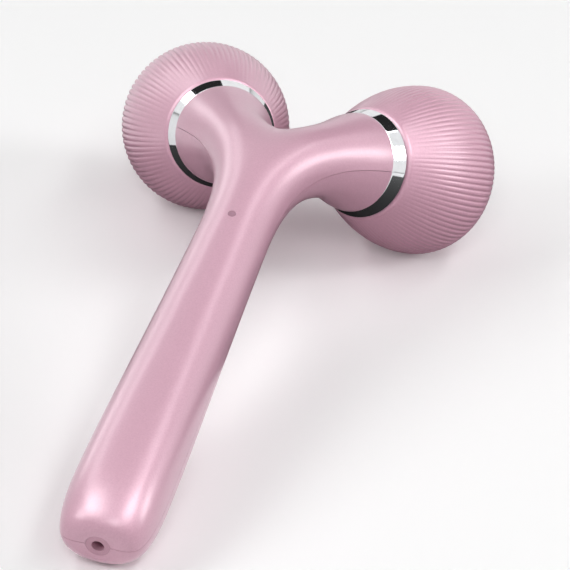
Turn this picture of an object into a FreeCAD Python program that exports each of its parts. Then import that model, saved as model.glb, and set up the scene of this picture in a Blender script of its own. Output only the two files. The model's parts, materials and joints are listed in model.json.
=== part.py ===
import FreeCAD, Part
import math
import os

# Sonic facial roller: a slim handle that forks into two arms, with a ribbed roller spinning on
# each. Millimetres. While the pieces are made, X is to the right, Y runs up the handle to the
# fork, Z points out of the front face, and the origin is on the handle's axis, level with the
# arm ends. Heights on the handle are counted down from there. At the end the whole roller is
# laid down on its two rollers and the handle's butt.

# Fork: where an arm ends and how it points there
arm_end_side = 13.6
arm_end_drop = 10.2
arm_splay_angle = 30.0
arm_droop_angle = 38.2
arm_end_radius = 10.05
arm_waist_radius = 7.0
fork_height = 36.0
fork_start_pull = 20.0
fork_end_pull = 17.0
arm_flare_power = 7
web_blend = 8.0
web_blend_share = 0.55
section_fan_share = 5.0

# Handle: half widths across the front and half depths, from the neck down to the rounded butt
handle_length = 127.0
neck_half_width = 7.3
neck_half_depth = 7.3
grip_half_width = 9.6
grip_half_depth = 9.2
butt_round = 17.0
butt_flat_radius = 3.6
butt_width_round_share = 0.5
butt_depth_round_share = 1.0
butt_width_shares = (0, 0.35, 0.65, 0.85, 0.95)
grip_round_share = 0.8
neck_round_share = 1.0

# Housing walls, the ribs inside and the seam between the halves
housing_wall = 1.7
butt_wall = 3.4
rib_thickness = 2.0
seam_gap = 0.1

# Fits: curved faces that stay together, turning fits, flat faces that turn past each other
seat_clearance = 0.05
running_clearance = 0.04
axial_play = 0.2
moving_clearance = 0.35
overrun = 2.0

# Collar, axle carrier and axle, measured along the arm's own axis from the arm's end
collar_length = 3.6
collar_big_radius = 11.0
collar_edge = 0.35
carrier_radius = 6.6
carrier_depth = 5.0
arm_bulkhead = 3.0
carrier_face_step = 0.4
carrier_seal_width = 1.1
carrier_seal_depth = 2.4
axle_radius = 2.2
axle_head_radius = 4.0
axle_head_height = 1.5
axle_tip = 0.6
clip_groove_radius = 1.75
clip_radius = 3.8
clip_thickness = 0.6
clip_mouth = 2.4
washer_radius = 4.3
washer_thickness = 1.0

# Roller: a bulb with ribs down its length
roller_mouth_gap = 0.5
roller_mouth_radius = 11.2
roller_radius = 17.2
roller_widest = 23.1
roller_dome_height = 12.2
roller_wall = 2.2
rib_count = 90
rib_depth = 0.45
rib_fade_share = 0.2
hub_radius = 5.2
hub_rim_radius = 9.0
hub_rim_thickness = 2.0
bush_radius = 3.3
bush_flange_radius = 4.2
bush_flange = 1.0
bush_length = 8.0
cap_radius = 6.0
cap_wall = 1.3
cap_top = 1.4
cap_groove = 0.5

# Power button on the rear face, and the switch under it
button_height = 42.0
button_half_width = 3.0
button_length = 12.0
button_proud = 0.35
button_lip = 0.7
button_lip_thickness = 0.9
button_lip_gap = 0.15
button_post_radius = 1.2
switch_side = 5.2
switch_body = 1.6
plunger_radius = 1.0
plunger_proud = 0.6
plunger_inset = 0.8

# Circuit board, what sits on it, and the status window in the front face
board_low_height = 63.0
board_high_height = 27.0
board_half_width = 4.9
board_thickness = 1.0
board_corner = 1.0
chip_boss_gap = 3.5
chip_side = 5.0
chip_thickness = 0.9
led_height = 38.3
led_side = 1.8
led_thickness = 0.8
window_radius = 0.8
window_foot_radius = 1.5
window_step = 0.7
window_gap = 0.3
boss_radius = 1.5
board_screw_inset = 3.0
board_screw_side = 3.2
screw_radius = 0.7
screw_head_radius = 1.25
screw_head = 0.8
screw_length = 3.6

# Rechargeable cell, which fills the room between the board and the jack, and its tray
cell_radius = 5.0
cell_end_gap = 3.0
cell_tip_radius = 1.8
cell_tip = 0.8
tray_wall = 0.9
tray_end = 1.2
cell_rib_inset = 7.0

# Vibration motor in the fork, its rubber sleeve and its eccentric weight
motor_radius = 3.2
motor_length = 9.5
motor_board_gap = 1.5
motor_drop = 0.6
motor_nose_radius = 1.4
motor_nose = 0.7
motor_shaft_radius = 0.5
motor_sleeve_wall = 0.9
motor_sleeve_inset = 1.0
weight_radius = 2.7
weight_hub_radius = 1.2
weight_length = 3.2
weight_gap = 0.4
motor_rib_low_inset = 2.5
motor_rib_high_inset = 6.5

# Charging jack in the butt, and the sealing ring behind its nose
jack_bore_radius = 1.3
jack_bore_depth = 11.0
jack_nose_radius = 2.5
jack_body_radius = 4.0
jack_length = 14.0
jack_seal_width = 1.0
jack_rib_inset = 10.0

# How finely curved outlines are drawn
ray_count = 16
taper_steps = 2
fork_stations = 9
fork_extra = 2
axis_stations = 24
search_steps = 10
bend_steps = 6
bulb_steps = 4
cap_steps = 4
touch_steps = 80

Vector = FreeCAD.Vector
right = Vector(1, 0, 0)
up_handle = Vector(0, 1, 0)
out_front = Vector(0, 0, 1)
splay = math.radians(arm_splay_angle)
droop = math.radians(arm_droop_angle)
arm_axis = Vector(math.sin(splay) * math.cos(droop), math.cos(splay) * math.cos(droop),
                  -math.sin(droop))
arm_end = Vector(arm_end_side, 0, -arm_end_drop)
fork_start = Vector(0, -fork_height, 0)


def ease(share):
    """Smooth step from 0 to 1."""
    share = min(max(share, 0), 1)
    return share * share * (3 - 2 * share)


def tube(outer, inner, length, base, axis):
    """Round sleeve."""
    start = base - axis * overrun
    bore = Part.makeCylinder(inner, length + 2 * overrun, start, axis)
    return Part.makeCylinder(outer, length, base, axis).cut(bore)


def block(half_width, length, thickness, low_height, low_depth):
    """Plate lying along the handle, centred across it."""
    corner = Vector(-half_width, -low_height, low_depth)
    return Part.makeBox(2 * half_width, length, thickness, corner)


def turned(points):
    """Solid turned about the arm's axis from points given as (radius, distance along the axis)."""
    corners = [Vector(radius, 0, along) for radius, along in points]
    face = Part.Face(Part.makePolygon(corners + corners[:1]))
    return face.revolve(Vector(0, 0, 0), out_front, 360)


# Housing: the forked skin
# The right half is a loft from the butt, up the handle and out along the right arm. Its sections
# are superellipses on the handle and, above the fork's start, the outline of two flaring limbs
# blended together. The half is cut at the middle plane and mirrored.
def fork_axis(share):
    """Point on the right arm's axis, from the fork's start to the arm's end."""
    rest = 1 - share
    near_start = fork_start + up_handle * fork_start_pull
    near_end = arm_end - arm_axis * fork_end_pull
    return (fork_start * rest ** 3 + near_start * (3 * rest * rest * share)
            + near_end * (3 * rest * share * share) + arm_end * share ** 3)


def fork_direction(share):
    """Direction of the right arm's axis."""
    rest = 1 - share
    near_start = fork_start + up_handle * fork_start_pull
    near_end = arm_end - arm_axis * fork_end_pull
    slope = ((near_start - fork_start) * (rest * rest) + (near_end - near_start) * (2 * rest * share)
             + (arm_end - near_end) * (share * share))
    return slope.normalize()


def limb_radius(share):
    """Radius of the limb: the neck's at the fork's start, a waist, then the trumpet end."""
    waist = neck_half_width + (arm_waist_radius - neck_half_width) * ease(2 * share)
    return waist + (arm_end_radius - waist) * share ** arm_flare_power


def limb_stations():
    """Points on the limb's axis with their radii, run on past both ends."""
    shares = [step / axis_stations for step in range(axis_stations + 1)]
    stations = [(fork_axis(share), limb_radius(share)) for share in shares]
    below = (fork_start - up_handle * fork_height, neck_half_width)
    beyond = (arm_end + arm_axis * arm_end_radius, arm_end_radius)
    return [below] + stations + [beyond]


limb = limb_stations()


def limb_gap(x, y, z):
    """Distance from a point to the right limb's skin, and how far out its axis is there."""
    best = None
    for (start, start_radius), (end, end_radius) in zip(limb, limb[1:]):
        dx, dy, dz = end.x - start.x, end.y - start.y, end.z - start.z
        reach = dx * dx + dy * dy + dz * dz
        along = ((x - start.x) * dx + (y - start.y) * dy + (z - start.z) * dz) / reach
        along = min(max(along, 0), 1)
        off = math.sqrt((x - start.x - along * dx) ** 2 + (y - start.y - along * dy) ** 2
                        + (z - start.z - along * dz) ** 2)
        gap = off - start_radius - along * (end_radius - start_radius)
        if best is None or gap < best[0]:
            best = (gap, start.x + along * dx)
    return best


def skin_gap(x, y, z):
    """Distance-like level of the right half of the fork: negative inside, closed past the middle."""
    if x < 0:
        off = max(skin_gap(0, y, z) + neck_half_width, 0)
        return math.sqrt(x * x + off * off) - neck_half_width
    near, near_side = limb_gap(x, y, z)
    far, far_side = limb_gap(-x, y, z)
    blend = min(web_blend, web_blend_share * (near_side + far_side))
    if blend <= 0:
        return min(near, far)
    shared = max(blend - abs(near - far), 0)
    return min(near, far) - shared * shared / (4 * blend)


def skin_reach(centre, way, inset):
    """How far the inset skin lies from a point on the axis, found by false position."""
    near, far = 0, 3 * arm_end_radius
    near_gap = skin_gap(centre.x, centre.y, centre.z) + inset
    end = centre + way * far
    far_gap = skin_gap(end.x, end.y, end.z) + inset
    for _ in range(search_steps):
        reach = near + (far - near) * near_gap / (near_gap - far_gap)
        point = centre + way * reach
        gap = skin_gap(point.x, point.y, point.z) + inset
        if gap < 0:
            near, near_gap = reach, gap
            far_gap = far_gap / 2
        else:
            far, far_gap = reach, gap
            near_gap = near_gap / 2
    return reach


def fork_section(share, inset):
    """Outline of the half fork, in planes that fan out round the crotch."""
    centre = fork_axis(share)
    fan = right * (section_fan_share * share * (1 - share) ** 2)
    ahead = (fork_direction(share) + fan).normalize()
    side = (right - ahead * ahead.x).normalize()
    front = side.cross(ahead)
    outline = []
    for ray in range(ray_count):
        angle = math.pi + 2 * math.pi * ray / ray_count
        way = side * math.cos(angle) + front * math.sin(angle)
        outline.append(centre + way * skin_reach(centre, way, inset))
    return outline + outline[:1]


def handle_section(height, half_width, half_depth, round_share):
    """Superellipse across the handle: an ellipse at a round share of 1, squarer below that."""
    power = 2 / round_share
    outline = []
    for ray in range(ray_count):
        angle = math.pi + 2 * math.pi * ray / ray_count
        width_part = (abs(math.cos(angle)) / half_width) ** power
        depth_part = (abs(math.sin(angle)) / half_depth) ** power
        reach = (width_part + depth_part) ** (-1 / power)
        outline.append(Vector(reach * math.cos(angle), -height, reach * math.sin(angle)))
    return outline + outline[:1]


def butt_curve(share, round_share):
    """Quarter of a superellipse round the butt: an ellipse at a round share of 1, blunter below."""
    power = 2 / round_share
    return (1 - share ** power) ** (1 / power)


def handle_sections(inset, end_wall, flat_radius):
    """Outlines from the butt's flat to just below the fork's start."""
    grip_top = handle_length - butt_round
    round_height = butt_round - end_wall
    sections = []
    for wider in butt_width_shares:
        fall = butt_curve(wider, butt_width_round_share)
        deeper = butt_curve(fall, butt_depth_round_share)
        height = grip_top + round_height * fall
        half_width = flat_radius + (grip_half_width - inset - flat_radius) * wider
        half_depth = flat_radius + (grip_half_depth - inset - flat_radius) * deeper
        round_share = neck_round_share + (grip_round_share - neck_round_share) * deeper
        sections.append(handle_section(height, half_width, half_depth, round_share))
    for step in range(taper_steps):
        share = step / taper_steps
        height = grip_top + (fork_height - grip_top) * share
        half_width = grip_half_width + (neck_half_width - grip_half_width) * share - inset
        half_depth = grip_half_depth + (neck_half_depth - grip_half_depth) * share - inset
        round_share = grip_round_share + (neck_round_share - grip_round_share) * share
        sections.append(handle_section(height, half_width, half_depth, round_share))
    return sections


def along_arm(shape):
    """Move a piece made on the Z axis to the right arm's axis."""
    piece = shape.copy()
    piece.Placement = FreeCAD.Placement(arm_end, FreeCAD.Rotation(out_front, arm_axis))
    return piece


def housing_skin(inset, end_wall, flat_radius, end_depth):
    """The whole forked skin, moved in by an inset and stopped short of the arm's end, as a solid."""
    end_share = 1 - end_depth / (3 * fork_end_pull)
    shares = [end_share * step / fork_stations for step in range(fork_stations + fork_extra + 1)]
    sections = handle_sections(inset, end_wall, flat_radius)
    sections += [fork_section(share, inset) for share in shares]
    surface = Part.BSplineSurface()
    surface.interpolate(sections)
    ends = surface.bounds()[:2]
    caps = [Part.Face(Part.Wire(surface.uIso(end).toShape())) for end in ends]
    reach = 2 * handle_length
    right_side = Part.makeBox(reach, 2 * reach, 2 * reach, Vector(0, -reach, -reach))
    past_end = Part.makeCylinder(reach, reach, Vector(0, 0, -end_depth), out_front)
    shell = Part.makeShell([surface.toShape()] + caps)
    shell.sewShape()
    half = Part.makeSolid(shell).common(right_side.cut(along_arm(past_end)))
    return half.fuse(half.mirror(Vector(0, 0, 0), right)).removeSplitter().Solids[0]


def above_seam():
    """Everything in front of the seam, which runs up the handle's axis and bends with the arms."""
    reach = 2 * handle_length
    bend = [fork_axis(step / bend_steps) for step in range(bend_steps + 1)]
    bend = [Vector(-reach, point.y, point.z) for point in bend]
    curve = Part.BSplineCurve()
    curve.interpolate(bend)
    low = Vector(-reach, -reach, 0)
    tip = bend[-1] + Vector(0, arm_axis.y, arm_axis.z) * collar_big_radius
    corners = [tip, Vector(-reach, tip.y, reach), Vector(-reach, -reach, reach), low, bend[0]]
    edges = [Part.makeLine(start, end) for start, end in zip(corners, corners[1:])]
    edges += [curve.toShape(), Part.makeLine(bend[-1], tip)]
    face = Part.Face(Part.Wire(Part.__sortEdges__(edges)))
    return face.extrude(right * (2 * reach))


def rib(height, bore_radius, drop):
    """Wall across the housing with a round seat in it, wide enough to cross the fork too."""
    half_side = arm_end_side + arm_end_radius
    wall = block(half_side, rib_thickness, 2 * half_side, height, -half_side)
    base = Vector(0, -height - overrun, -drop)
    return wall.cut(Part.makeCylinder(bore_radius, rib_thickness + 2 * overrun, base, up_handle))


def stadium(half_width, length, low, high):
    """Round-ended prism under the rear face, long side up the handle."""
    straight = length - 2 * half_width
    low_end = Vector(0, -button_height - straight / 2, low)
    high_end = Vector(0, -button_height + straight / 2, low)
    bar = Part.makeBox(2 * half_width, straight, high - low, low_end - right * half_width)
    ends = [Part.makeCylinder(half_width, high - low, end, out_front) for end in (low_end, high_end)]
    return bar.multiFuse(ends).removeSplitter()


pieces = {}

# Places along the arm's axis, counted from the arm's end, in the order the pieces are stacked
carrier_face = collar_length - carrier_face_step
inner_flange_start = carrier_face + washer_thickness + axial_play
hub_start = inner_flange_start + bush_flange
roller_start = collar_length + roller_mouth_gap
roller_end = roller_widest + roller_dome_height
hub_end = roller_end - cap_top - moving_clearance - axle_tip - clip_thickness - axial_play - bush_flange
clip_start = hub_end + bush_flange + axial_play
axle_end = clip_start + clip_thickness + axle_tip

# Places down the handle, counted from the level of the arm ends: the board holds its place below
# the fork, the motor sits above it, the jack in the butt, and the cell fills the room between
board_screw_low_height = board_low_height - board_screw_inset
board_screw_high_height = board_high_height + board_screw_inset
chip_height = board_screw_low_height - boss_radius - chip_boss_gap - chip_side / 2
motor_low_height = board_high_height - motor_board_gap
motor_rib_low_height = motor_low_height - motor_rib_low_inset
motor_rib_high_height = motor_low_height - motor_rib_high_inset
jack_rib_height = handle_length - jack_rib_inset
cell_low_height = handle_length - jack_length - cell_end_gap
cell_high_height = board_low_height + cell_end_gap
cell_length = cell_low_height - cell_high_height
cell_rib_low_height = cell_low_height - cell_rib_inset
cell_rib_high_height = cell_high_height + cell_rib_inset

# Places through the handle, counted from its axis towards the front
board_back = -board_thickness / 2
board_front = board_thickness / 2
plunger_back = board_back - switch_body - plunger_proud
inner_half_depth = neck_half_depth - housing_wall
lip_half_width = button_half_width + button_lip
lip_back = button_lip_gap - math.sqrt(inner_half_depth ** 2 - lip_half_width ** 2)
tray_radius = cell_radius + seat_clearance + tray_wall
sleeve_radius = motor_radius + seat_clearance + motor_sleeve_wall
board_screws = [(0, board_screw_low_height), (board_screw_side, board_screw_high_height),
                (-board_screw_side, board_screw_high_height)]

# Housing halves: the skin, less its hollow, which stops at the ribs and the bosses for the board
skin = housing_skin(0, 0, butt_flat_radius, 0)
cavity_flat = jack_body_radius + 2 * seat_clearance
cavity = housing_skin(housing_wall, butt_wall, cavity_flat, carrier_depth + arm_bulkhead)
front_room = above_seam()

head_room = axle_head_radius + moving_clearance
bulkhead_start = -carrier_depth - arm_bulkhead - overrun
right_bore = along_arm(turned([(0, bulkhead_start), (head_room, bulkhead_start), (head_room, -carrier_depth),
                               (carrier_radius + seat_clearance, -carrier_depth),
                               (carrier_radius + seat_clearance, overrun), (0, overrun)]))
left_bore = right_bore.mirror(Vector(0, 0, 0), right)
jack_hole = Part.makeCylinder(jack_nose_radius + seat_clearance, butt_wall + 2 * overrun,
                              Vector(0, -handle_length - overrun, 0), up_handle)
openings = [right_bore, left_bore, jack_hole]

shared_ribs = [rib(motor_rib_low_height, sleeve_radius + seat_clearance, motor_drop),
               rib(motor_rib_high_height, sleeve_radius + seat_clearance, motor_drop),
               rib(jack_rib_height, jack_body_radius + seat_clearance, 0)]
front_ribs = [rib(cell_rib_low_height, cell_radius + seat_clearance, 0),
              rib(cell_rib_high_height, cell_radius + seat_clearance, 0)]
rear_ribs = [rib(cell_rib_low_height, tray_radius + seat_clearance, 0),
             rib(cell_rib_high_height, tray_radius + seat_clearance, 0)]
bosses = []
for side, height in board_screws:
    foot = Vector(side, -height, board_front)
    boss = Part.makeCylinder(boss_radius, grip_half_depth, foot, out_front)
    hole_length = screw_length + seat_clearance - board_thickness
    hole = Part.makeCylinder(screw_radius + seat_clearance, hole_length, foot, out_front)
    bosses.append(boss.cut(hole))
window_hole = Part.makeCylinder(window_radius + seat_clearance, grip_half_depth,
                                Vector(0, -led_height, board_front), out_front)
button_hole = stadium(button_half_width + moving_clearance, button_length + 2 * moving_clearance,
                      -2 * neck_half_depth, -overrun)

front_hollow = cavity.cut(shared_ribs + front_ribs + bosses)
front = skin.common(front_room.translated(out_front * (seam_gap / 2)))
pieces["front_shell"] = front.cut([front_hollow, window_hole] + openings)
rear_hollow = cavity.cut(shared_ribs + rear_ribs)
rear = skin.cut(front_room.translated(out_front * (-seam_gap / 2)))
pieces["rear_shell"] = rear.cut([rear_hollow, button_hole] + openings)

# Power button, flush with the rear face but for a slight rise, with a lip inside and a post
button_cap = stadium(button_half_width, button_length, -2 * neck_half_depth, lip_back)
button_cap = button_cap.common(skin.translated(out_front * -button_proud))
lip_front = lip_back + button_lip_thickness
button_rim = stadium(lip_half_width, button_length + 2 * button_lip, lip_back, lip_front)
button_post = Part.makeCylinder(button_post_radius, plunger_back - lip_front,
                                Vector(0, -button_height, lip_front), out_front)
pieces["power_button"] = button_cap.multiFuse([button_rim, button_post]).removeSplitter()

switch_corner_height = button_height + switch_side / 2
switch = block(switch_side / 2, switch_side, switch_body, switch_corner_height, board_back - switch_body)
plunger_base = Vector(0, -button_height, plunger_back)
plunger_length = plunger_proud + plunger_inset
plunger_well = Part.makeCylinder(plunger_radius + moving_clearance, switch_body + plunger_proud,
                                 plunger_base, out_front)
pieces["tact_switch"] = switch.cut(plunger_well)
pieces["switch_plunger"] = Part.makeCylinder(plunger_radius, plunger_length, plunger_base, out_front)

# Circuit board with its chip and status light, its screws, and the light pipe in the front face
board = block(board_half_width, board_low_height - board_high_height, board_thickness,
              board_low_height, board_back)
corner_edges = [edge for edge in board.Edges if edge.tangentAt(0).z ** 2 > edge.tangentAt(0).x ** 2
                and edge.tangentAt(0).z ** 2 > edge.tangentAt(0).y ** 2]
board = board.makeFillet(board_corner, corner_edges)
screws = []
for side, height in board_screws:
    below = Vector(side, -height, board_back)
    shank = Part.makeCylinder(screw_radius, screw_length, below, out_front)
    head = Part.makeCylinder(screw_head_radius, screw_head, below - out_front * screw_head, out_front)
    screws.append(head.fuse(shank).removeSplitter())
    board = board.cut(Part.makeCylinder(screw_radius + seat_clearance, screw_length, below, out_front))
pieces["main_board"] = board
pieces["board_screws"] = Part.makeCompound(screws)
pieces["control_chip"] = block(chip_side / 2, chip_side, chip_thickness, chip_height + chip_side / 2,
                               board_front)
pieces["status_led"] = block(led_side / 2, led_side, led_thickness, led_height + led_side / 2,
                             board_front)
pipe_start = Vector(0, -led_height, board_front + led_thickness + window_gap)
pipe_foot_length = inner_half_depth - window_step - pipe_start.z
pipe = Part.makeCylinder(window_radius, grip_half_depth, pipe_start, out_front).common(skin)
pipe_foot = Part.makeCylinder(window_foot_radius, pipe_foot_length, pipe_start, out_front)
pieces["light_pipe"] = pipe.fuse(pipe_foot).removeSplitter()

# Rechargeable cell and the tray that holds it against the rear half
cell_base = Vector(0, -cell_low_height, 0)
cell_can = Part.makeCylinder(cell_radius, cell_length - cell_tip, cell_base, up_handle)
cell_button = Part.makeCylinder(cell_tip_radius, cell_length, cell_base, up_handle)
pieces["battery_cell"] = cell_can.fuse(cell_button).removeSplitter()
tray_length = cell_length + 2 * seat_clearance + 2 * tray_end
tray_base = cell_base - up_handle * (seat_clearance + tray_end)
tray = Part.makeCylinder(tray_radius, tray_length, tray_base, up_handle)
cell_room = Part.makeCylinder(cell_radius + seat_clearance, cell_length + 2 * seat_clearance,
                              cell_base - up_handle * seat_clearance, up_handle)
tray_top = block(2 * tray_radius, 2 * tray_length, 2 * tray_radius, cell_low_height + tray_length / 2,
                 -seam_gap)
pieces["battery_tray"] = tray.cut(cell_room).cut(tray_top)

# Vibration motor: can in a rubber sleeve, shaft with an eccentric weight
motor_base = Vector(0, -motor_low_height, -motor_drop)
nose_base = motor_base + up_handle * motor_length
can = Part.makeCylinder(motor_radius, motor_length, motor_base, up_handle)
can = can.fuse(Part.makeCylinder(motor_nose_radius, motor_nose, nose_base, up_handle))
shaft_start = nose_base - up_handle * (motor_length / 2)
weight_start = nose_base + up_handle * (motor_nose + weight_gap)
shaft_length = (weight_start - shaft_start).Length + weight_length + weight_gap
shaft_well = Part.makeCylinder(motor_shaft_radius + running_clearance, shaft_length,
                               shaft_start - up_handle * weight_gap, up_handle)
pieces["motor_can"] = can.removeSplitter().cut(shaft_well)
pieces["motor_shaft"] = Part.makeCylinder(motor_shaft_radius, shaft_length, shaft_start, up_handle)
sleeve_base = motor_base + up_handle * motor_sleeve_inset
sleeve_length = motor_length - 2 * motor_sleeve_inset
pieces["motor_sleeve"] = tube(sleeve_radius, motor_radius + seat_clearance, sleeve_length, sleeve_base,
                              up_handle)
disc = Part.makeCylinder(weight_radius, weight_length, weight_start, up_handle)
heavy_side = Part.makeBox(2 * weight_radius, weight_length, weight_radius,
                          weight_start - right * weight_radius - out_front * weight_radius)
weight_hub = Part.makeCylinder(weight_hub_radius, weight_length, weight_start, up_handle)
weight = disc.common(heavy_side).fuse(weight_hub).removeSplitter()
pieces["eccentric_weight"] = weight.cut(
    Part.makeCylinder(motor_shaft_radius + seat_clearance, weight_length, weight_start, up_handle))

# Charging jack: its nose fills the hole in the butt, a ring seals behind it
butt = Vector(0, -handle_length, 0)
jack_nose_length = butt_wall + jack_seal_width
jack = Part.makeCylinder(jack_nose_radius, jack_nose_length, butt, up_handle)
jack = jack.fuse(Part.makeCylinder(jack_body_radius, jack_length - jack_nose_length,
                                   butt + up_handle * jack_nose_length, up_handle)).removeSplitter()
jack_bore = Part.makeCylinder(jack_bore_radius, jack_bore_depth, butt, up_handle)
pieces["charging_jack"] = jack.cut(jack_bore)
pieces["jack_seal"] = tube(jack_body_radius, jack_nose_radius + seat_clearance, jack_seal_width,
                           butt + up_handle * butt_wall, up_handle)


# Roller: outline of the bulb from its mouth to the edge of its cap
def bulb_radius(along):
    """Outside radius of the bulb at a distance along the arm's axis."""
    if along < roller_widest:
        share = (along - roller_start) / (roller_widest - roller_start)
        return roller_mouth_radius + (roller_radius - roller_mouth_radius) * math.sin(math.pi / 2 * share)
    share = (along - roller_widest) / roller_dome_height
    return roller_radius * math.sqrt(1 - share * share)


def bulb_places(last_radius):
    """Distances along the axis that follow the bulb's curve evenly."""
    back = [roller_start + (roller_widest - roller_start) * step / bulb_steps
            for step in range(bulb_steps)]
    last_angle = math.acos(last_radius / roller_radius)
    dome = [roller_widest + roller_dome_height * math.sin(last_angle * step / bulb_steps)
            for step in range(bulb_steps + 1)]
    return back + dome


def ribbed_section(along):
    """Ring of ridges and grooves, one pair for each rib, fading towards the mouth and the cap."""
    reach = roller_widest - roller_start if along < roller_widest else roller_dome_height
    fade = abs(along - roller_widest) / reach
    depth = rib_depth * (1 - (1 - rib_fade_share) * fade)
    ring = []
    for corner in range(2 * rib_count):
        angle = math.pi * corner / rib_count
        radius = bulb_radius(along) - depth * (corner % 2)
        ring.append(Vector(radius * math.cos(angle), radius * math.sin(angle), along))
    return Part.makePolygon(ring + ring[:1])


places = bulb_places(cap_radius + cap_groove)
bulb = Part.makeLoft([ribbed_section(along) for along in places], True, False)
rim_end = hub_start + hub_rim_thickness
hollow = [(0, roller_start - overrun), (hub_rim_radius + seat_clearance, roller_start - overrun),
          (hub_rim_radius + seat_clearance, rim_end)]
hollow += [(bulb_radius(along) - roller_wall, along) for along in places if rim_end < along < hub_end]
hollow += [(bulb_radius(hub_end) - roller_wall, hub_end), (cap_radius + seat_clearance, hub_end),
           (cap_radius + seat_clearance, roller_end + overrun), (0, roller_end + overrun)]
roller_shell = bulb.cut(turned(hollow))

# Hub: a sleeve with a rim at each end, which the shell sits on, and seats for two flanged bushes
hub = turned([(bush_radius + seat_clearance, hub_start), (hub_rim_radius, hub_start),
              (hub_rim_radius, rim_end), (hub_radius, rim_end),
              (hub_radius, hub_end - hub_rim_thickness), (hub_rim_radius, hub_end - hub_rim_thickness),
              (hub_rim_radius, hub_end), (bush_radius + seat_clearance, hub_end)])
bush_bore = axle_radius + running_clearance
inner_bush = turned([(bush_bore, inner_flange_start), (bush_flange_radius, inner_flange_start),
                     (bush_flange_radius, hub_start), (bush_radius, hub_start),
                     (bush_radius, hub_start + bush_length), (bush_bore, hub_start + bush_length)])
outer_bush = turned([(bush_bore, hub_end - bush_length), (bush_radius, hub_end - bush_length),
                     (bush_radius, hub_end), (bush_flange_radius, hub_end),
                     (bush_flange_radius, hub_end + bush_flange), (bush_bore, hub_end + bush_flange)])

# Cap: a domed button that fills the bulb's front and covers the axle's end
cap_radii = [cap_radius * step / cap_steps for step in range(cap_steps, -1, -1)]
cap_outline = [(radius, roller_widest + roller_dome_height * math.sqrt(1 - (radius / roller_radius) ** 2))
               for radius in cap_radii]
roller_cap = turned([(cap_radius - cap_wall, hub_end), (cap_radius, hub_end)] + cap_outline
                    + [(0, roller_end - cap_top), (cap_radius - cap_wall, roller_end - cap_top)])

# Collar, carrier with its sealing ring, headed axle, thrust washer and retaining clip
collar = turned([(carrier_radius + seat_clearance, seat_clearance), (arm_end_radius, seat_clearance),
                 (collar_big_radius, collar_length - collar_edge),
                 (collar_big_radius - collar_edge, collar_length),
                 (carrier_radius + seat_clearance, collar_length)])
groove_floor = carrier_radius - carrier_seal_width
groove_start = -carrier_seal_depth - carrier_seal_width
carrier = turned([(axle_radius + seat_clearance, -carrier_depth), (carrier_radius, -carrier_depth),
                  (carrier_radius, groove_start), (groove_floor, groove_start),
                  (groove_floor, -carrier_seal_depth), (carrier_radius, -carrier_seal_depth),
                  (carrier_radius, carrier_face), (axle_radius + seat_clearance, carrier_face)])
carrier_seal = tube(carrier_radius, groove_floor + seat_clearance, carrier_seal_width,
                    Vector(0, 0, groove_start), out_front)
axle = turned([(0, -carrier_depth - axle_head_height), (axle_head_radius, -carrier_depth - axle_head_height),
               (axle_head_radius, -carrier_depth), (axle_radius, -carrier_depth),
               (axle_radius, clip_start), (clip_groove_radius, clip_start),
               (clip_groove_radius, clip_start + clip_thickness),
               (axle_radius, clip_start + clip_thickness), (axle_radius, axle_end), (0, axle_end)])
washer = tube(washer_radius, axle_radius + seat_clearance, washer_thickness, Vector(0, 0, carrier_face),
              out_front)
clip = tube(clip_radius, clip_groove_radius + seat_clearance, clip_thickness, Vector(0, 0, clip_start),
            out_front)
clip = clip.cut(Part.makeBox(clip_radius + overrun, clip_mouth, clip_thickness + 2 * overrun,
                             Vector(0, -clip_mouth / 2, clip_start - overrun)))

arm_pieces = {"collar": collar, "axle_carrier": carrier, "carrier_seal": carrier_seal, "axle": axle,
              "thrust_washer": washer, "retaining_clip": clip, "roller_shell": roller_shell,
              "roller_hub": hub, "inner_bush": inner_bush, "outer_bush": outer_bush,
              "roller_cap": roller_cap}
for name, shape in arm_pieces.items():
    pieces["right_" + name] = along_arm(shape)
    pieces["left_" + name] = pieces["right_" + name].mirror(Vector(0, 0, 0), right)


# Laid down: the tilt at which the rollers and the handle's butt touch one flat surface
grip_points = [point for point in skin.tessellate(seat_clearance)[0] if point.y < -fork_height]
touch_places = [roller_start + (roller_end - roller_start) * step / touch_steps
                   for step in range(touch_steps)]


def roller_depth(down):
    """How far the roller reaches in a direction."""
    off_axis = math.sqrt(1 - arm_axis.dot(down) ** 2)
    return max((arm_end + arm_axis * along).dot(down) + bulb_radius(along) * off_axis
               for along in touch_places)


def grip_depth(down):
    """How far the grip reaches in a direction."""
    return max(point.dot(down) for point in grip_points)


def down_at(tilt):
    return Vector(0, -math.sin(tilt), -math.cos(tilt))


level, steep = 0, math.pi / 4
for _ in range(2 * search_steps):
    tilt = (level + steep) / 2
    if roller_depth(down_at(tilt)) > grip_depth(down_at(tilt)):
        level = tilt
    else:
        steep = tilt

laid = FreeCAD.Placement(Vector(0, 0, 0), FreeCAD.Rotation(right, math.degrees(tilt)))
everything = Part.makeCompound(list(pieces.values()))
everything.Placement = laid
box = everything.optimalBoundingBox(False)
laid.Base = Vector(0, -(box.YMin + box.YMax) / 2, -box.ZMin)

os.makedirs("parts", exist_ok=True)
for name, shape in pieces.items():
    placed = shape.copy()
    placed.Placement = laid.multiply(shape.Placement)
    placed.exportStep("parts/" + name + ".step")

print("tilt", math.degrees(tilt), "size", box.XLength, box.YLength, box.ZLength)
print("roller axis", laid.Rotation.multVec(arm_axis), "through", laid.multVec(arm_end))
print("button presses along", laid.Rotation.multVec(out_front))
print("motor axis", laid.Rotation.multVec(up_handle), "through", laid.multVec(motor_base))
print("jack mouth", laid.multVec(butt), "axis", laid.Rotation.multVec(-up_handle))
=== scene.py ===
import json
import math
import bpy
from mathutils import Matrix, Vector


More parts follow.
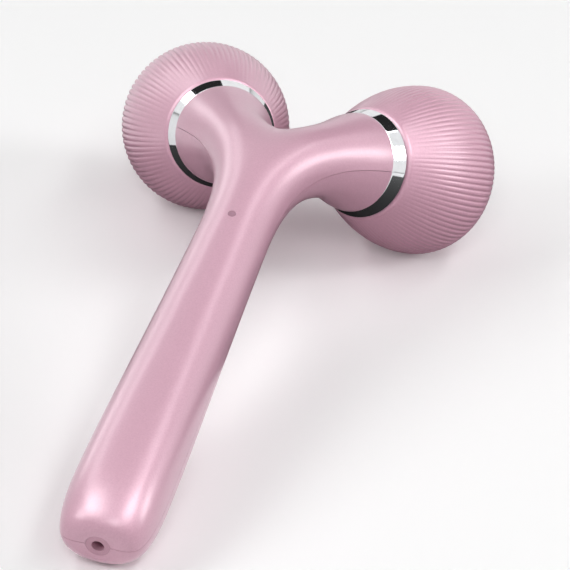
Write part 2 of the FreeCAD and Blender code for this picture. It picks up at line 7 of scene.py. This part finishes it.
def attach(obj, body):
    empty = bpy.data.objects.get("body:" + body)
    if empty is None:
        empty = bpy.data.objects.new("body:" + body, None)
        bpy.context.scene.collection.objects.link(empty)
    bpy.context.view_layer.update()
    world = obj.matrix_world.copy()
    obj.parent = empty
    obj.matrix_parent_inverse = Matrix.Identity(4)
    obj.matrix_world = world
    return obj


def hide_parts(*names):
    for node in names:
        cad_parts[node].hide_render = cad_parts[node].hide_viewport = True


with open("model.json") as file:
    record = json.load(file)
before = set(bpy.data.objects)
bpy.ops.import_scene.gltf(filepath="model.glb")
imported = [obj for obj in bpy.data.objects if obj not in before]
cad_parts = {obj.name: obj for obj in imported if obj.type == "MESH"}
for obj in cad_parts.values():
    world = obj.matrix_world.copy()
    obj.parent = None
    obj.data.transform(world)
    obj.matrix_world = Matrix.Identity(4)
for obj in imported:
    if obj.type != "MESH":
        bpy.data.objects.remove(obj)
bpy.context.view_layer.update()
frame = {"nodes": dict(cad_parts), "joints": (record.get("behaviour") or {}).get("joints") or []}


# Circuit board: a strip of glass-fibre laminate under a green solder mask, screwed to three bosses of
# the front half. The mask has an even gloss that a faint grain breaks up. The real grain of masks and
# moulds is finer; it is drawn as coarse as it needs to show.
millimetre = 0.001
mould_grain = 0.4 * millimetre
mould_relief = 0.02 * millimetre


def linear(colour):
    """Linear RGBA of an sRGB hex colour."""
    shares = [int(colour[start:start + 2], 16) / 255 for start in (1, 3, 5)]
    return [s / 12.92 if s <= 0.04045 else ((s + 0.055) / 1.055) ** 2.4 for s in shares] + [1]


def new_finish(name):
    """Material with an empty node tree."""
    finish = bpy.data.materials.new(name)
    finish.use_nodes = True
    finish.node_tree.nodes.clear()
    return finish


def add(finish, kind, inputs, **settings):
    """Node with its settings; each input is a plain value or another node's output to link."""
    tree = finish.node_tree
    node = tree.nodes.new(kind)
    for name, value in settings.items():
        setattr(node, name, value)
    for place, value in inputs.items():
        if isinstance(value, bpy.types.NodeSocket):
            tree.links.new(value, node.inputs[place])
        else:
            node.inputs[place].default_value = value
    return node


def mottle(finish, spacing, dark, light, detail):
    """Noise of a real spacing, in metres, and the tint that it sways between two colours."""
    place = add(finish, "ShaderNodeTexCoord", {})
    noise = add(finish, "ShaderNodeTexNoise",
                {"Vector": place.outputs["Object"], "Scale": 1 / spacing, "Detail": detail})
    tint = add(finish, "ShaderNodeMix", {0: noise.outputs["Fac"], 6: linear(dark), 7: linear(light)},
               data_type="RGBA")
    return noise.outputs["Fac"], tint.outputs[2]


def grained_plastic(name, dark, light, roughness):
    """Plastic or rubber whose faint grain breaks up the gloss and sways the tint a little."""
    finish = new_finish(name)
    grain, tint = mottle(finish, mould_grain, dark, light, detail=3)
    relief = add(finish, "ShaderNodeBump", {"Height": grain, "Strength": 0.15, "Distance": mould_relief})
    shader = add(finish, "ShaderNodeBsdfPrincipled",
                 {"Base Color": tint, "Roughness": roughness, "Normal": relief.outputs["Normal"]})
    add(finish, "ShaderNodeOutputMaterial", {"Surface": shader.outputs["BSDF"]})
    return finish


def dress(finish, *names):
    """Puts a finish on CAD pieces."""
    for name in names:
        materials = frame["nodes"][name].data.materials
        materials.clear()
        materials.append(finish)


dress(grained_plastic("solder_masked_laminate", "#0E4A2A", "#15603A", roughness=0.3), "main_board")


# Chip, switch and status light: they sit flat on the board, soldered to it. The chip is moulded in
# satin black epoxy and the switch, with its plunger, in satin black nylon. The status light is cast in
# a glossier, milky epoxy.
dress(grained_plastic("moulded_black_epoxy", "#161618", "#232326", roughness=0.45), "control_chip")
dress(grained_plastic("moulded_black_nylon", "#161618", "#232326", roughness=0.45),
      "tact_switch", "switch_plunger")
dress(grained_plastic("cast_milky_epoxy", "#E4E9EC", "#F6F9FA", roughness=0.25), "status_led")


# Board screws: three screws headed from bright drawn steel wire, which hold the board on its bosses.
# The steel is a clean grey, and fine marks left by the die soften what it mirrors. The real marks are
# finer; these are as coarse as they need to show.
die_mark = 0.15 * millimetre
die_mark_relief = 0.01 * millimetre


def bare_metal(name, dark, light, roughness):
    """Uncoated metal, with fine marks that soften its gloss and sway its tint."""
    finish = new_finish(name)
    marks, tint = mottle(finish, die_mark, dark, light, detail=2)
    relief = add(finish, "ShaderNodeBump", {"Height": marks, "Strength": 0.1, "Distance": die_mark_relief})
    shader = add(finish, "ShaderNodeBsdfPrincipled",
                 {"Base Color": tint, "Metallic": 1, "Roughness": roughness,
                  "Normal": relief.outputs["Normal"]})
    add(finish, "ShaderNodeOutputMaterial", {"Surface": shader.outputs["BSDF"]})
    return finish


drawn_steel = bare_metal("bright_drawn_steel", "#8E9093", "#B4B6B9", roughness=0.28)
dress(drawn_steel, "board_screws")


# Cell and tray: a round rechargeable cell in a shrunk sleeve of glossy blue PVC, lying in a tray moulded
# in satin black ABS. Both lie in round seats in the ribs of the housing halves.
dress(grained_plastic("shrunk_blue_pvc", "#1F4E9A", "#2A5FB0", roughness=0.3), "battery_cell")
black_abs = grained_plastic("moulded_black_abs", "#161618", "#232326", roughness=0.45)
dress(black_abs, "battery_tray")


# Vibration motor: a drawn steel can and shaft, with an off-centre weight of dull grey sintered tungsten.
# Its sleeve, moulded in matt black silicone rubber, sits in two ribs that both halves share.
dress(drawn_steel, "motor_can", "motor_shaft")
dress(bare_metal("sintered_tungsten", "#55565A", "#6B6C70", roughness=0.4), "eccentric_weight")
silicone_rubber = grained_plastic("moulded_silicone_rubber", "#1B1B1D", "#29292C", roughness=0.6)
dress(silicone_rubber, "motor_sleeve")


# Charging jack: a body moulded in plain pink ABS, a little duller than the housing. Its nose fills the
# hole in the butt, with a silicone rubber ring behind it.
dress(grained_plastic("moulded_pink_abs", "#B98A9C", "#C799AA", roughness=0.4), "charging_jack")
dress(silicone_rubber, "jack_seal")


# Axles: cut from drawn steel and put through black ABS plugs from inside. The plugs close the arms, each
# with a silicone rubber ring in its groove, and a steel clip sits in the groove at each axle's end.
dress(black_abs, "left_axle_carrier", "right_axle_carrier")
dress(silicone_rubber, "left_carrier_seal", "right_carrier_seal")
dress(drawn_steel, "left_axle", "right_axle", "left_retaining_clip", "right_retaining_clip")


# Roller bearings: two flanged bushes and a thrust washer on each axle, turned from waxy off-white
# acetal, and the hub moulded in black ABS that the bushes sit in.
dress(grained_plastic("turned_acetal", "#DCD8CC", "#E8E4DA", roughness=0.35),
      "left_thrust_washer", "right_thrust_washer", "left_inner_bush", "right_inner_bush",
      "left_outer_bush", "right_outer_bush")
dress(black_abs, "left_roller_hub", "right_roller_hub")


# Housing halves and power button: moulded ABS, sprayed with a satin pearl pink lacquer and closed along
# a fine seam. The pearl gives broad soft highlights, pale towards the light and rose away from it. Its
# real flakes are finer; they are drawn as coarse as they need to show.
pearl_flake = 0.35 * millimetre
orange_peel = 2.5 * millimetre
peel_relief = 0.05 * millimetre
lacquer_roughness, flake_roughness = 0.42, 0.04


def pearl_lacquer(name, deep, light):
    """Satin lacquer whose flakes sway its tint and its gloss, over the faintest orange peel."""
    finish = new_finish(name)
    flakes, tint = mottle(finish, pearl_flake, deep, light, detail=2)
    gloss = add(finish, "ShaderNodeMapRange",
                {"Value": flakes, "To Min": lacquer_roughness - flake_roughness,
                 "To Max": lacquer_roughness + flake_roughness})
    place = add(finish, "ShaderNodeTexCoord", {})
    peel = add(finish, "ShaderNodeTexNoise",
               {"Vector": place.outputs["Object"], "Scale": 1 / orange_peel, "Detail": 1})
    relief = add(finish, "ShaderNodeBump",
                 {"Height": peel.outputs["Fac"], "Strength": 0.06, "Distance": peel_relief})
    shader = add(finish, "ShaderNodeBsdfPrincipled",
                 {"Base Color": tint, "Metallic": 0.12, "Roughness": gloss.outputs["Result"],
                  "Normal": relief.outputs["Normal"], "Coat Weight": 1, "Coat Roughness": 0.3})
    add(finish, "ShaderNodeOutputMaterial", {"Surface": shader.outputs["BSDF"]})
    return finish


dress(pearl_lacquer("satin_pearl_lacquer", "#C492A6", "#D7A7BA"),
      "front_shell", "rear_shell", "power_button")


# Status window: a light pipe moulded in acrylic that is tinted a dusky rose. It fills its hole in the
# front half, held by its foot inside, and shows as a small glossy dark dot below the fork.
acrylic = new_finish("moulded_tinted_acrylic")
_, tint = mottle(acrylic, mould_grain, "#A77C8E", "#B98C9E", detail=2)
shader = add(acrylic, "ShaderNodeBsdfPrincipled", {"Base Color": tint, "Roughness": 0.15, "IOR": 1.49})
add(acrylic, "ShaderNodeOutputMaterial", {"Surface": shader.outputs["BSDF"]})
dress(acrylic, "light_pipe")


# Collars: ABS rings plated with bright chrome, which sit on the axle carriers against the arms' ends,
# with their outer edges broken by a small round. The plating mirrors the room in hard black and white,
# with the faint haze of a wiped surface.
collar_bore, collar_small_radius, collar_big_radius = 6.65, 10.05, 11.0
collar_start, collar_end = 0.05, 3.6
collar_round = 0.35
collar_round_steps = 5
collar_steps = 180
slope_edge_share = 0.06
wipe_haze = 1.2 * millimetre
clean_roughness, hazy_roughness = 0.03, 0.09


def arm_place(joint_name):
    """Matrix that puts a piece made along Z, in metres, on the arm's axle."""
    joint = next(joint for joint in frame["joints"] if joint["name"] == joint_name)
    turn = Vector(joint["axis"]).to_track_quat("Z", "Y").to_matrix().to_4x4()
    return Matrix.Translation(Vector(joint["pos_m"])) @ turn


def ring_on(on_arm, along, reaches):
    """Ring of points at a distance along the axle, each at its own reach from it, in millimetres."""
    ring = []
    for step, reach in enumerate(reaches):
        angle = 2 * math.pi * step / len(reaches)
        corner = Vector((reach * math.cos(angle), reach * math.sin(angle), along))
        ring.append(on_arm @ (corner * millimetre))
    return ring


def closed_rings(name, rings):
    """Smooth closed mesh through rings of points, each ring and the row of rings going round."""
    around = len(rings[0])
    faces = []
    for ring in range(len(rings)):
        following = (ring + 1) % len(rings)
        for step in range(around):
            beside = (step + 1) % around
            faces.append((ring * around + step, ring * around + beside,
                          following * around + beside, following * around + step))
    mesh = bpy.data.meshes.new(name)
    mesh.from_pydata([point for ring in rings for point in ring], [], faces)
    mesh.shade_smooth()
    piece = bpy.data.objects.new(name, mesh)
    bpy.context.scene.collection.objects.link(piece)
    return piece


def collar_outline():
    """Points (distance from the arm's end, radius) round the collar's section, in millimetres."""
    slope = math.atan2(collar_big_radius - collar_small_radius, collar_end - collar_start - 2 * collar_round)
    rounds = []
    for along, radius, first, last in (
            (collar_start + collar_round, collar_small_radius - collar_round, -math.pi / 2, -slope),
            (collar_end - collar_round, collar_big_radius - collar_round, -slope, math.pi / 2)):
        arc = []
        for step in range(collar_round_steps + 1):
            angle = first + (last - first) * step / collar_round_steps
            arc.append((along + collar_round * math.sin(angle), radius + collar_round * math.cos(angle)))
        rounds.append(arc)
    small, big = rounds
    # Points just inside the two ends of the slope keep its shading straight.
    near_ends = []
    for share in (slope_edge_share, 1 - slope_edge_share):
        near_ends.append(tuple(low + (high - low) * share for low, high in zip(small[-1], big[0])))
    start_face = [(collar_start, collar_bore), (collar_start, collar_bore + collar_round),
                  (collar_start, collar_small_radius - collar_round)]
    end_face = [(collar_end, collar_bore + collar_round), (collar_end, collar_bore)]
    return start_face + small + near_ends + big + end_face


chrome = new_finish("bright_chrome_plating")
haze, tint = mottle(chrome, wipe_haze, "#DEDFE2", "#ECEDEF", detail=3)
gloss = add(chrome, "ShaderNodeMapRange",
            {"Value": haze, "To Min": clean_roughness, "To Max": hazy_roughness})
shader = add(chrome, "ShaderNodeBsdfPrincipled",
             {"Base Color": tint, "Metallic": 1, "Roughness": gloss.outputs["Result"]})
add(chrome, "ShaderNodeOutputMaterial", {"Surface": shader.outputs["BSDF"]})
for side in ("left", "right"):
    on_arm = arm_place(side + "_roller_spin")
    rings = [ring_on(on_arm, along, [radius] * collar_steps) for along, radius in collar_outline()]
    collar = closed_rings(side + "_chrome_collar", rings)
    collar.data.materials.append(chrome)
    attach(collar, "handle")
    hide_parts(side + "_collar")


# Rollers: hollow bulbs moulded in ABS with fine rounded ribs that fade towards the mouth and the cap,
# sprayed with the handle's lacquer. Their lacquer is drawn in a slightly lighter tint, which is painted
# light: it makes the rollers and caps brighter than the lamps make them. Each sits on its hub, spins on
# the arm's axle and is closed by a plain cap in the same lacquer.
mouth_along, mouth_radius = 4.1, 11.2
widest_along, widest_radius = 23.1, 17.2
dome_height = 12.2
cap_seat_radius, cap_edge_radius = 6.05, 6.5
bore_radius, bore_end = 9.05, 7.4
roller_wall = 2.2
hub_end = 31.15
rib_count, rib_steps = 90, 6
rib_depth, rib_fade, rib_fade_power = 0.45, 0.04, 1.4
back_steps, dome_steps = 24, 20
inside_stride = 4


def bulb_outline():
    """Points (distance from the arm's end, radius, rib depth) from mouth to cap, in millimetres."""
    outline = []
    for step in range(back_steps):
        share = step / back_steps
        outline.append((mouth_along + (widest_along - mouth_along) * share,
                        mouth_radius + (widest_radius - mouth_radius) * math.sin(math.pi / 2 * share),
                        rib_depth * (rib_fade + (1 - rib_fade) * share ** rib_fade_power)))
    last_angle = math.acos(cap_edge_radius / widest_radius)
    for step in range(dome_steps + 1):
        angle = last_angle * step / dome_steps
        outline.append((widest_along + dome_height * math.sin(angle), widest_radius * math.cos(angle),
                        rib_depth * (1 - (1 - rib_fade) * math.sin(angle))))
    return outline


outline = bulb_outline()
# The inside follows the outside at the thickness of the wall, in longer steps.
inside = [(along, radius - roller_wall, 0) for along, radius, depth in outline
          if bore_end < along < hub_end][::-inside_stride]
section = ([(bore_end, bore_radius, 0), (mouth_along, bore_radius, 0)] + outline
           + [(outline[-1][0], cap_seat_radius, 0), (hub_end, cap_seat_radius, 0)] + inside)
# How far the surface lies below the ridge at each step round the roller, as a share of the rib's depth.
below_ridge = []
for step in range(rib_count * rib_steps):
    off_ridge = 2 * (step % rib_steps) / rib_steps - 1
    below_ridge.append(1 - math.sqrt(1 - off_ridge * off_ridge))
# A lighter copy of the housing's lacquer: painted light that brightens the rollers and their caps.
lit_rib_lacquer = pearl_lacquer("satin_pearl_lacquer_on_ribs_painted_lighter", "#CA95AA", "#DEABBF")
for side in ("left", "right"):
    on_arm = arm_place(side + "_roller_spin")
    rings = [ring_on(on_arm, along, [radius - depth * below for below in below_ridge])
             for along, radius, depth in section]
    roller = closed_rings(side + "_ribbed_roller", rings)
    roller.data.materials.append(lit_rib_lacquer)
    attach(roller, side + "_roller")
    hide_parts(side + "_roller_shell")
dress(lit_rib_lacquer, "left_roller_cap", "right_roller_cap")


# Floor: a plain sheet of pale matt paper that the roller lies on, faintly clouded by its fibres. Seen
# directly, or in metal and glass, it is a little lighter than the lamps make it, so that it stays pale
# and keeps the shadow.
floor_width = 12
paper_cloud = 3.333 * millimetre
floor_lift = 0.09


def seen_rays(finish):
    """1 for rays that see the scene, directly or in gloss or glass, and 0 for those that only light it."""
    rays = add(finish, "ShaderNodeLightPath", {})
    seen = add(finish, "ShaderNodeMath",
               {0: rays.outputs["Is Camera Ray"], 1: rays.outputs["Is Glossy Ray"]}, operation="MAXIMUM")
    seen = add(finish, "ShaderNodeMath",
               {0: seen.outputs[0], 1: rays.outputs["Is Transmission Ray"]}, operation="MAXIMUM")
    return seen.outputs[0]


def flat_sheet(name, width, length, place, finish):
    """Rectangle with a finish, flat on a place's XY plane and centred there."""
    corners = [(-width / 2, -length / 2, 0), (width / 2, -length / 2, 0),
               (width / 2, length / 2, 0), (-width / 2, length / 2, 0)]
    mesh = bpy.data.meshes.new(name)
    mesh.from_pydata(corners, [], [(0, 1, 2, 3)])
    mesh.transform(place)
    mesh.materials.append(finish)
    sheet = bpy.data.objects.new(name, mesh)
    bpy.context.scene.collection.objects.link(sheet)
    return sheet


paper = new_finish("pale_matt_paper")
_, tint = mottle(paper, paper_cloud, "#FAFAFA", "#FEFEFE", detail=2)
lift = add(paper, "ShaderNodeMath", {0: seen_rays(paper), 1: floor_lift}, operation="MULTIPLY")
shader = add(paper, "ShaderNodeBsdfPrincipled",
             {"Base Color": tint, "Roughness": 0.9, "Specular IOR Level": 0,
              "Emission Color": linear("#FFFFFF"), "Emission Strength": lift.outputs[0]})
add(paper, "ShaderNodeOutputMaterial", {"Surface": shader.outputs["BSDF"]})
pale_floor = flat_sheet("pale_floor", floor_width, floor_width, Matrix.Identity(4), paper)


# Studio: white surroundings, a long soft strip on each side of the handle and three smaller panels.
# Only the gloss sees the three cards, which make the pale spots on the butt and the left arm, and the
# three flags of black felt, which give the chrome its black. The flag lying just above the floor under
# the fork is painted shade: a dark sheet, seen only in gloss, that stands for the shaded floor there and
# darkens the chrome and the undersides of the lacquered parts.
room_light, room_seen = 0.2, 1
felt_nap = 5 * millimetre
aim = Vector((0.0114, 0.008, 0.019))
along_handle = (0, 1, 0)


def face_to_aim(offset, along):
    """Matrix at an offset from the aim, facing it, with its length as near to a direction as it goes."""
    back = Vector(offset).normalized()
    tall = (Vector(along) - back * back.dot(Vector(along))).normalized()
    wide = tall.cross(back)
    return Matrix.Translation(aim + Vector(offset)) @ Matrix((wide, tall, back)).transposed().to_4x4()


world = bpy.data.worlds.new("white_studio")
bpy.context.scene.world = world
world.use_nodes = True
world.node_tree.nodes.clear()
level = add(world, "ShaderNodeMapRange",
            {"Value": seen_rays(world), "To Min": room_light, "To Max": room_seen})
background = add(world, "ShaderNodeBackground",
                 {"Color": linear("#FFFFFF"), "Strength": level.outputs["Result"]})
add(world, "ShaderNodeOutputWorld", {"Surface": background.outputs["Background"]})

# Offsets, widths and lengths in metres, power in watts.
for name, offset, along, width, length, power, gloss_only in (
        ("strip_left", (-0.64, 0.18, 0.76), (0, 0.95, -0.35), 0.2, 1.6, 2.7, False),
        ("strip_right", (0.46, 0.1, 0.89), along_handle, 0.2, 1.6, 3.1, False),
        ("panel_right", (0.9, 0.25, 0.45), along_handle, 0.32, 0.32, 3.2, False),
        ("front_left", (-0.68, -0.5, 0.54), along_handle, 0.32, 0.32, 2, False),
        ("front_right", (0.14, -0.7, 0.7), along_handle, 0.24, 0.24, 1.6, False),
        ("card_butt_left", (-0.42, -0.3, 0.86), along_handle, 0.36, 0.55, 5, True),
        ("card_butt_right", (0.5, -0.15, 0.85), along_handle, 0.36, 0.55, 5, True),
        ("card_arm_left", (-0.8, 0.6, 0.3), along_handle, 0.3, 0.3, 0.8, True)):
    lamp = bpy.data.lights.new(name, "AREA")
    lamp.shape = "RECTANGLE"
    lamp.size = width
    lamp.size_y = length
    lamp.energy = power
    holder = bpy.data.objects.new(name, lamp)
    holder.matrix_world = face_to_aim(offset, along)
    holder.visible_diffuse = not gloss_only
    bpy.context.scene.collection.objects.link(holder)

felt = new_finish("black_felt")
_, tint = mottle(felt, felt_nap, "#0C0C0D", "#141415", detail=2)
shader = add(felt, "ShaderNodeBsdfPrincipled", {"Base Color": tint, "Roughness": 0.95})
add(felt, "ShaderNodeOutputMaterial", {"Surface": shader.outputs["BSDF"]})
just_above_floor = Matrix.Translation((0.095, 0.09, 0.001))
for name, place, width, length in (
        ("flag_behind", face_to_aim((0.12, 0.83, 0.53), (0.75, -0.42, 0.33)), 0.28, 0.66),
        ("flag_left", face_to_aim((-0.5, 0.81, 0.3), (0.88, 0.47, 0)), 0.26, 0.5),
        # Painted shade: a black sheet under the fork that only the gloss sees.
        ("painted_shade_below", just_above_floor, 0.31, 0.18)):
    flag = flat_sheet(name, width, length, place, felt)
    flag.visible_camera = False
    flag.visible_diffuse = False
    flag.visible_shadow = False


# Camera: above and in front of the handle, a little to its right, turned slightly about its own axis.
# Its long lens keeps the lines of the handle and the arms nearly parallel.
sensor_width, focal_length = 36, 718
camera_place = (0.488398, -1.870127, 1.207222)
camera_roll = math.radians(4.3995)
camera_data = bpy.data.cameras.new("product_camera")
camera_data.sensor_width = sensor_width
camera_data.lens = focal_length
camera = bpy.data.objects.new("product_camera", camera_data)
camera.location = camera_place
look = (aim - camera.location).to_track_quat("-Z", "Y").to_matrix().to_4x4()
camera.rotation_euler = (look @ Matrix.Rotation(camera_roll, 4, "Z")).to_euler()
bpy.context.scene.collection.objects.link(camera)
bpy.context.scene.camera = camera
bpy.context.scene.view_settings.view_transform = "Standard"
